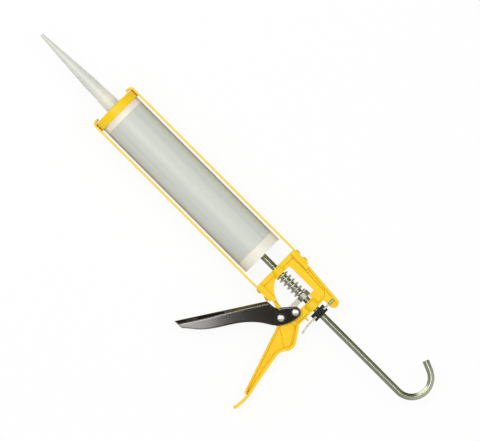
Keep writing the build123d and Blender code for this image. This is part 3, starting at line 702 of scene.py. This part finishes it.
def from_nodes(name, tree, values):
    """Runs a geometry tree with values {input name: value} and returns a plain mesh."""
    identifiers = {s.name: s.identifier for s in tree.interface.items_tree if s.in_out == "INPUT"}
    holder = bpy.data.objects.new(name, bpy.data.meshes.new(name))
    bpy.context.scene.collection.objects.link(holder)
    modifier = holder.modifiers.new(name, "NODES")
    modifier.node_group = tree
    for label, value in values.items():
        modifier[identifiers[label]] = value
    bpy.context.view_layer.update()
    graph = bpy.context.evaluated_depsgraph_get()
    mesh = bpy.data.meshes.new_from_object(holder.evaluated_get(graph))
    holder.modifiers.remove(modifier)
    bpy.data.objects.remove(holder)
    mesh.name = name
    return mesh


def coil_tree():
    """Wire wound along +Z: closed end turns, even pitch between them."""
    found = bpy.data.node_groups.get("wound_wire")
    if found:
        return found
    tree, given, put = new_tree("wound_wire", {
        "Coil Radius": 5.95 * MM, "Wire Radius": 0.85 * MM, "Length": 27.0 * MM, "Turns": 7.0,
        "End Share": 0.14, "End Rise": 1.7 * MM, "Steps": 40})
    link = tree.links.new
    end_share = given.outputs["End Share"]
    end_rise = given.outputs["End Rise"]
    spiral = add_node(tree, "GeometryNodeCurveSpiral", Height=0.0)
    link(given.outputs["Steps"], spiral.inputs["Resolution"])
    link(given.outputs["Turns"], spiral.inputs["Rotations"])
    link(given.outputs["Coil Radius"], spiral.inputs["Start Radius"])
    link(given.outputs["Coil Radius"], spiral.inputs["End Radius"])
    along = tree.nodes.new("GeometryNodeSplineParameter")
    far = math_node(tree, "SUBTRACT", 1.0, end_share)
    middle = math_node(tree, "SUBTRACT", far, end_share)
    twice = math_node(tree, "MULTIPLY", end_rise, 2.0)
    run = math_node(tree, "SUBTRACT", given.outputs["Length"], twice)

    def climb(start, width, rise):
        """The rise gained from start on over that width of the wire's length."""
        moved = math_node(tree, "SUBTRACT", along.outputs["Factor"], start)
        share = math_node(tree, "DIVIDE", moved, width, clamp=True)
        return math_node(tree, "MULTIPLY", share, rise)

    first = climb(0.0, end_share, end_rise)
    main_run = climb(end_share, middle, run)
    last = climb(far, end_share, end_rise)
    height = math_node(tree, "ADD", math_node(tree, "ADD", first, main_run), last)
    rise = tree.nodes.new("ShaderNodeCombineXYZ")
    link(height, rise.inputs["Z"])
    lift = tree.nodes.new("GeometryNodeSetPosition")
    link(spiral.outputs["Curve"], lift.inputs["Geometry"])
    link(rise.outputs["Vector"], lift.inputs["Offset"])
    section = add_node(tree, "GeometryNodeCurvePrimitiveCircle", Resolution=WIRE_FACETS)
    link(given.outputs["Wire Radius"], section.inputs["Radius"])
    sweep = add_node(tree, "GeometryNodeCurveToMesh", Fill_Caps=True)
    link(lift.outputs["Geometry"], sweep.inputs["Curve"])
    link(section.outputs["Curve"], sweep.inputs["Profile Curve"])
    close_tree(tree, given, put, sweep.outputs["Mesh"])
    return tree


def wound_mesh(name, start, values):
    """A wound wire along the rod from start, which is in metres behind the casting's front face."""
    mesh = from_nodes(name, coil_tree(), values)
    mesh.transform(GUN @ Matrix.Translation(Vector((start, 0.0, 0.0))) @ ALONG_ROD)
    finish_mesh(mesh, WIRE_SHARP)
    return mesh


def rivet_tree():
    """A row of domed rivets with shanks, heads towards +Z, spaced along +X."""
    found = bpy.data.node_groups.get("rivet_row")
    if found:
        return found
    tree, given, put = new_tree("rivet_row", {
        "Head Radius": 2.9 * MM, "Head Rise": 1.7 * MM, "Shank Radius": 2.0 * MM,
        "Shank Length": 6.0 * MM, "Count": 2, "Spacing": 10.6 * MM})
    link = tree.links.new
    # A ball becomes a head: its upper half is the crown on a low rim, its lower half goes flat
    rim = math_node(tree, "MULTIPLY", given.outputs["Head Rise"], HEAD_RIM_SHARE)
    bow = math_node(tree, "SUBTRACT", given.outputs["Head Rise"], rim)
    ball = add_node(
        tree, "GeometryNodeMeshUVSphere", Segments=HEAD_SEGMENTS, Rings=HEAD_RINGS, Radius=1.0)
    place = tree.nodes.new("GeometryNodeInputPosition")
    split = tree.nodes.new("ShaderNodeSeparateXYZ")
    link(place.outputs["Position"], split.inputs["Vector"])
    up = math_node(tree, "MAXIMUM", split.outputs["Z"], 0.0)
    crown = math_node(tree, "ADD", math_node(tree, "MULTIPLY", up, bow), rim)
    below = math_node(tree, "LESS_THAN", split.outputs["Z"], HEAD_FLAT_BELOW)
    keep = math_node(tree, "SUBTRACT", 1.0, below)
    join = tree.nodes.new("ShaderNodeCombineXYZ")
    for axis in ("X", "Y"):
        wide = math_node(tree, "MULTIPLY", split.outputs[axis], given.outputs["Head Radius"])
        link(wide, join.inputs[axis])
    link(math_node(tree, "MULTIPLY", crown, keep), join.inputs["Z"])
    head = tree.nodes.new("GeometryNodeSetPosition")
    link(ball.outputs["Mesh"], head.inputs["Geometry"])
    link(join.outputs["Vector"], head.inputs["Position"])
    stem = add_node(tree, "GeometryNodeMeshCylinder", Vertices=SHANK_FACETS)
    link(given.outputs["Shank Radius"], stem.inputs["Radius"])
    link(given.outputs["Shank Length"], stem.inputs["Depth"])
    drop = tree.nodes.new("ShaderNodeCombineXYZ")
    link(math_node(tree, "MULTIPLY", given.outputs["Shank Length"], -0.5), drop.inputs["Z"])
    lower = tree.nodes.new("GeometryNodeTransform")
    link(stem.outputs["Mesh"], lower.inputs["Geometry"])
    link(drop.outputs["Vector"], lower.inputs["Translation"])
    both = tree.nodes.new("GeometryNodeJoinGeometry")
    link(head.outputs["Geometry"], both.inputs["Geometry"])
    link(lower.outputs["Geometry"], both.inputs["Geometry"])
    step = tree.nodes.new("ShaderNodeCombineXYZ")
    link(given.outputs["Spacing"], step.inputs["X"])
    row = tree.nodes.new("GeometryNodeMeshLine")
    link(given.outputs["Count"], row.inputs["Count"])
    link(step.outputs["Vector"], row.inputs["Offset"])
    copies = tree.nodes.new("GeometryNodeInstanceOnPoints")
    link(row.outputs["Mesh"], copies.inputs["Points"])
    link(both.outputs["Geometry"], copies.inputs["Instance"])
    close_tree(tree, given, put, copies.outputs["Instances"])
    return tree


def rivet_row(name, material, radius, rise, shank, length, count, spacing, place):
    """One row of rivets as a mesh, moved to its place in the shared frame; sizes are in millimetres."""
    mesh = from_nodes(name, rivet_tree(), {
        "Head Radius": radius * MM, "Head Rise": rise * MM, "Shank Radius": shank * MM,
        "Shank Length": length * MM, "Count": count, "Spacing": spacing * MM, "Material": material})
    mesh.transform(place)
    return mesh


def turned(x, y, z, out):
    """A place in the gun whose +Z looks along out and whose +X runs back along the rod."""
    out = Vector(out)
    back = Vector((1.0, 0.0, 0.0))
    turn = Matrix((back, out.cross(back), out)).transposed().to_4x4()
    return GUN @ Matrix.Translation(Vector((x, y, z)) * MM) @ turn


# Operators, one for each group of pieces


class GUN_OT_casting(Operator):
    """Paints the body casting with its grip"""

    bl_idname = "caulking_gun.casting"
    bl_label = "Body casting"

    def execute(self, context):
        dressed_node("body_casting", "casting", yellow_paint(), "frame")
        return {"FINISHED"}


class GUN_OT_cradle(Operator):
    """Makes the strap rails, their rivets and the front ring"""

    bl_idname = "caulking_gun.cradle"
    bl_label = "Cradle"

    def execute(self, context):
        paint = yellow_paint()
        for node, name in (
                ("upper_rail", "rail_upper"), ("lower_rail", "rail_lower"), ("front_ring", "ring_front")):
            dressed_node(node, name, paint, "frame")
        face = RIVETS_HIGH.y - RAIL_RIVET_RISE
        radius = RIVETS_HIGH.z
        first = RIVETS_LOW.x + radius
        spacing = RIVETS_HIGH.x - radius - first
        rows = []
        for side in (1, -1):
            place = turned(first, side * face, 0.0, (0.0, side, 0.0))
            rows.append(rivet_row(
                "rail_rivet_row", paint, radius, RAIL_RIVET_RISE, RAIL_RIVET_SHANK, RAIL_RIVET_DEPTH,
                RAIL_RIVETS_IN_ROW, spacing, place))
        mesh = joined("rivets_rail", rows)
        new_piece("rivets_rail", mesh, paint, "frame", ["rail_rivets"])
        return {"FINISHED"}


class GUN_OT_tube(Operator):
    """Makes the printed tube with its threaded neck, and the nozzle"""

    bl_idname = "caulking_gun.tube"
    bl_label = "Tube and nozzle"

    def execute(self, context):
        plastic = printed_tube()
        dressed_node("tube_barrel", "tube", plastic, "frame")
        dressed_node("nozzle", "nozzle_cone", nozzle_plastic(), "nozzle")
        ridge = THREAD_RIDGE * MM
        room = (TUBE_FRONT - BARREL_LOW.x - THREAD_MARGINS) * MM
        start = (BARREL_LOW.x + THREAD_FRONT_MARGIN) * MM + ridge
        mesh = wound_mesh("neck_thread", start, {
            "Coil Radius": (NECK_RADIUS + THREAD_PROUD) * MM - ridge, "Wire Radius": ridge,
            "Length": room - 2 * ridge, "Turns": room / sizes().thread_pitch,
            "End Share": THREAD_END_SHARE, "End Rise": room * THREAD_END_SHARE,
            "Steps": THREAD_STEPS, "Material": plastic})
        new_piece("neck_thread", mesh, plastic, "frame", [])
        return {"FINISHED"}


class GUN_OT_fill(Operator):
    """Makes the tube's piston and the sealant in front of it"""

    bl_idname = "caulking_gun.fill"
    bl_label = "Piston and sealant"

    def execute(self, context):
        dressed_node("tube_piston", "piston_cup", natural_plastic(), "piston")
        plug = dressed_node("sealant", "sealant_plug", sealant_paste(), "frame")
        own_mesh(plug)
        return {"FINISHED"}


class GUN_OT_rod(Operator):
    """Makes the hooked hex rod and its push plate"""

    bl_idname = "caulking_gun.rod"
    bl_label = "Push rod"

    def execute(self, context):
        dressed_node("push_rod", "rod_hooked", zinc_steel(), "rod", ROD_CORNER * MM)
        dressed_node("push_plate", "plate_push", zinc_steel(), "rod")
        return {"FINISHED"}


class GUN_OT_trigger(Operator):
    """Makes the black trigger and its two rivets"""

    bl_idname = "caulking_gun.trigger"
    bl_label = "Trigger"

    def execute(self, context):
        dressed_node("trigger", "trigger_channel", black_paint(), "trigger")
        metal = rivet_zinc()
        for name, node in (("rivet_pivot", "pivot_rivet"), ("rivet_drive", "drive_rivet")):
            low, high = gun_box(node)
            x = (low.x + high.x) / 2
            y = (low.y + high.y) / 2
            radius = (high.x - low.x) / 2
            face = high.z - PIN_HEAD_RISE
            rows = []
            for side in (1, -1):
                place = turned(x, y, side * face, (0.0, 0.0, side))
                rows.append(rivet_row(
                    name, metal, radius, PIN_HEAD_RISE, PIN_SHANK, face,
                    count=1, spacing=0.0, place=place))
            new_piece(name, joined(name, rows), metal, "trigger", [node])
        return {"FINISHED"}


class GUN_OT_drive(Operator):
    """Makes the drive plates and the return spring"""

    bl_idname = "caulking_gun.drive"
    bl_label = "Drive plates and spring"

    def execute(self, context):
        dressed_node("drive_plate_front", "plate_drive_front", plated_sheet(), "drive")
        dressed_node("drive_plate_rear", "plate_drive_rear", plated_sheet(), "drive")
        metal = bright_zinc()
        wire = sizes().spring_wire
        turns = sizes().spring_turns
        whole = (SPRING_HIGH.x - SPRING_LOW.x) * MM
        mesh = wound_mesh("spring_coil", SPRING_LOW.x * MM + wire / 2, {
            "Coil Radius": SPRING_HIGH.z * MM - wire / 2, "Wire Radius": wire / 2,
            "Length": whole - wire, "Turns": turns, "End Share": SPRING_END_TURN / turns,
            "End Rise": wire * SPRING_END_RISE, "Steps": SPRING_STEPS, "Material": metal})
        spring = new_piece("spring_coil", mesh, metal, "frame", ["return_spring"])
        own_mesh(spring)
        return {"FINISHED"}


class GUN_OT_release(Operator):
    """Makes the release plate and its pad"""

    bl_idname = "caulking_gun.release"
    bl_label = "Release"

    def execute(self, context):
        dressed_node("release_plate", "plate_release", plated_sheet(), "release")
        dressed_node("release_pad", "pad_release", pad_moulding(), "release")
        return {"FINISHED"}


# Stage helpers


def seen_white(tree):
    """1 on rays from the camera and on mirror and clear rays, where the backdrop shows as white."""
    path = tree.nodes.new("ShaderNodeLightPath")
    seen = path.outputs["Is Camera Ray"]
    for kind in ("Is Glossy Ray", "Is Transmission Ray"):
        seen = math_node(tree, "ADD", seen, path.outputs[kind], clamp=True)
    return seen


def lay_floor(scene):
    """A wide sheet of pale paper under the gun that keeps a faint shadow."""
    floor_z = CAD_BOX[0].z
    sides = ((-1, -1), (1, -1), (1, 1), (-1, 1))
    corners = [(x * FLOOR_REACH, y * FLOOR_REACH, floor_z) for x, y in sides]
    mesh = bpy.data.meshes.new("floor")
    mesh.from_pydata(corners, [], [(0, 1, 2, 3)])
    paper = bpy.data.materials.new("floor_paper")
    paper.use_nodes = True
    tree = paper.node_tree
    shader = tree.nodes["Principled BSDF"]
    shader.inputs["Base Color"].default_value = PAPER_GREY
    shader.inputs["Roughness"].default_value = PAPER_ROUGHNESS
    glow = add_node(tree, "ShaderNodeEmission", Color=WHITE, Strength=1.0)
    mix = tree.nodes.new("ShaderNodeMixShader")
    share = math_node(tree, "MULTIPLY", seen_white(tree), PAPER_WHITE)
    tree.links.new(share, mix.inputs["Fac"])
    tree.links.new(shader.outputs["BSDF"], mix.inputs[1])
    tree.links.new(glow.outputs["Emission"], mix.inputs[2])
    tree.links.new(mix.outputs["Shader"], tree.nodes["Material Output"].inputs["Surface"])
    paper.cycles.emission_sampling = "NONE"
    mesh.materials.append(paper)
    floor = bpy.data.objects.new("floor", mesh)
    scene.collection.objects.link(floor)


def build_studio(scene):
    """Soft walls, dark overhead and at the photo's top, brighter behind the hook, white when seen."""
    world = bpy.data.worlds.new("studio")
    world.use_nodes = True
    scene.world = world
    tree = world.node_tree
    sky = tree.nodes["Background"]
    at = add_node(tree, "ShaderNodeTexCoord")
    split = add_node(tree, "ShaderNodeSeparateXYZ")
    tree.links.new(at.outputs["Generated"], split.inputs["Vector"])
    away = add_node(tree, "ShaderNodeVectorMath", operation="DOT_PRODUCT")
    away.inputs[1].default_value = FAR_WAY
    tree.links.new(at.outputs["Generated"], away.inputs[0])
    shaded = add_node(tree, "ShaderNodeMix", data_type="RGBA", blend_type="MULTIPLY")
    shaded.inputs["Factor"].default_value = 1.0
    ends = colour_sockets(shaded.inputs)
    tree.links.new(colour_ramp(tree, split.outputs["Z"], WALL_STOPS), ends[0])
    tree.links.new(colour_ramp(tree, away.outputs["Value"], FAR_STOPS), ends[1])
    tree.links.new(colour_sockets(shaded.outputs)[0], sky.inputs["Color"])
    rear = add_node(tree, "ShaderNodeMapRange", From_Min=0.25, From_Max=0.85, To_Min=0.52, To_Max=0.95)
    tree.links.new(split.outputs["X"], rear.inputs["Value"])
    tree.links.new(rear.outputs["Result"], sky.inputs["Strength"])
    back = add_node(tree, "ShaderNodeBackground", Color=WHITE, Strength=1.0)
    mix = tree.nodes.new("ShaderNodeMixShader")
    path = tree.nodes.new("ShaderNodeLightPath")
    tree.links.new(path.outputs["Is Camera Ray"], mix.inputs["Fac"])
    tree.links.new(sky.outputs["Background"], mix.inputs[1])
    tree.links.new(back.outputs["Background"], mix.inputs[2])
    tree.links.new(mix.outputs["Shader"], tree.nodes["World Output"].inputs["Surface"])


def soft_lamp(name, at, to, side, size, power):
    """A soft box at one point, turned to another; size is along side and across it."""
    lamp = bpy.data.lights.new(name, "AREA")
    lamp.shape = "RECTANGLE"
    lamp.size, lamp.size_y = size
    lamp.energy = power
    stand = bpy.data.objects.new(name, lamp)
    out = (at - to).normalized()
    across = (side - out * side.dot(out)).normalized()
    place = Matrix((across, out.cross(across), out)).transposed().to_4x4()
    place.translation = at
    stand.matrix_world = place
    bpy.context.scene.collection.objects.link(stand)


def hang_lamps(aim, right, up):
    """Three soft boxes over the gun and one low lamp from the nozzle's side for the hook."""
    for name, along, across, size, power in TOP_LAMPS:
        at = aim + SIDE_AXIS * LAMP_HEIGHT + right * along + up * across
        soft_lamp(name, at, aim, right, size, power)
    turn = radians(FRONT_LAMP_TURN)
    rise = radians(FRONT_LAMP_RISE)
    hook = gun_point(*HOOK_CORNER)
    ahead = (up * cos(turn) - right * sin(turn)) * cos(rise) + SIDE_AXIS * sin(rise)
    soft_lamp("front_lamp", hook + ahead * FRONT_LAMP_AWAY, hook, SIDE_AXIS.cross(ahead),
              FRONT_LAMP_SIZE, FRONT_LAMP_POWER)


def set_camera(scene, aim, right, up):
    """A long lens square to the gun's left side, turned as the photo is."""
    lens = bpy.data.cameras.new("photo_camera")
    lens.sensor_fit = "HORIZONTAL"
    lens.sensor_width = SENSOR_WIDTH
    lens.lens = FOCAL_LENGTH
    lens.clip_end = CAMERA_CLIP
    camera = bpy.data.objects.new("photo_camera", lens)
    place = Matrix((right, up, SIDE_AXIS)).transposed().to_4x4()
    place.translation = aim + SIDE_AXIS * CAMERA_AWAY
    camera.matrix_world = place
    scene.collection.objects.link(camera)
    scene.camera = camera


class GUN_OT_stage(Operator):
    """Lays the floor and sets the lights and the camera"""

    bl_idname = "caulking_gun.stage"
    bl_label = "Stage"

    def execute(self, context):
        scene = context.scene
        scene.view_settings.view_transform = "Standard"
        aim = gun_point(*PHOTO_CENTRE)
        right = (ROD_AXIS + UP_AXIS).normalized()
        up = (UP_AXIS - ROD_AXIS).normalized()
        lay_floor(scene)
        build_studio(scene)
        hang_lamps(aim, right, up)
        set_camera(scene, aim, right, up)
        return {"FINISHED"}


PIECES = (
    GUN_OT_casting, GUN_OT_cradle, GUN_OT_tube, GUN_OT_fill, GUN_OT_rod, GUN_OT_trigger, GUN_OT_drive,
    GUN_OT_release, GUN_OT_stage,
)


class GUN_PT_pieces(Panel):
    """Sizes, colours and the pieces in the order they are made"""

    bl_idname = "GUN_PT_pieces"
    bl_label = "Caulking gun"
    bl_space_type = "VIEW_3D"
    bl_region_type = "UI"
    bl_category = "Caulking gun"

    def draw(self, context):
        for group in (context.scene.gun_sizes, context.scene.gun_colours):
            column = self.layout.column()
            for label in group.__annotations__:
                column.prop(group, label)
        for piece in PIECES:
            self.layout.operator(piece.bl_idname)


CLASSES = (GunSizes, GunColours, *PIECES, GUN_PT_pieces)


def register():
    """Registers the classes and hangs sizes and colours on the scene."""
    for each in CLASSES:
        bpy.utils.register_class(each)
    bpy.types.Scene.gun_sizes = PointerProperty(type=GunSizes)
    bpy.types.Scene.gun_colours = PointerProperty(type=GunColours)


def unregister():
    """Takes back what register did."""
    del bpy.types.Scene.gun_colours
    del bpy.types.Scene.gun_sizes
    for each in reversed(CLASSES):
        bpy.utils.unregister_class(each)


def main():
    """Makes every piece and the stage in order."""
    register()
    bpy.ops.caulking_gun.casting()
    bpy.ops.caulking_gun.cradle()
    bpy.ops.caulking_gun.tube()
    bpy.ops.caulking_gun.fill()
    bpy.ops.caulking_gun.rod()
    bpy.ops.caulking_gun.trigger()
    bpy.ops.caulking_gun.drive()
    bpy.ops.caulking_gun.release()
    bpy.ops.caulking_gun.stage()


if __name__ == "__main__":
    main()
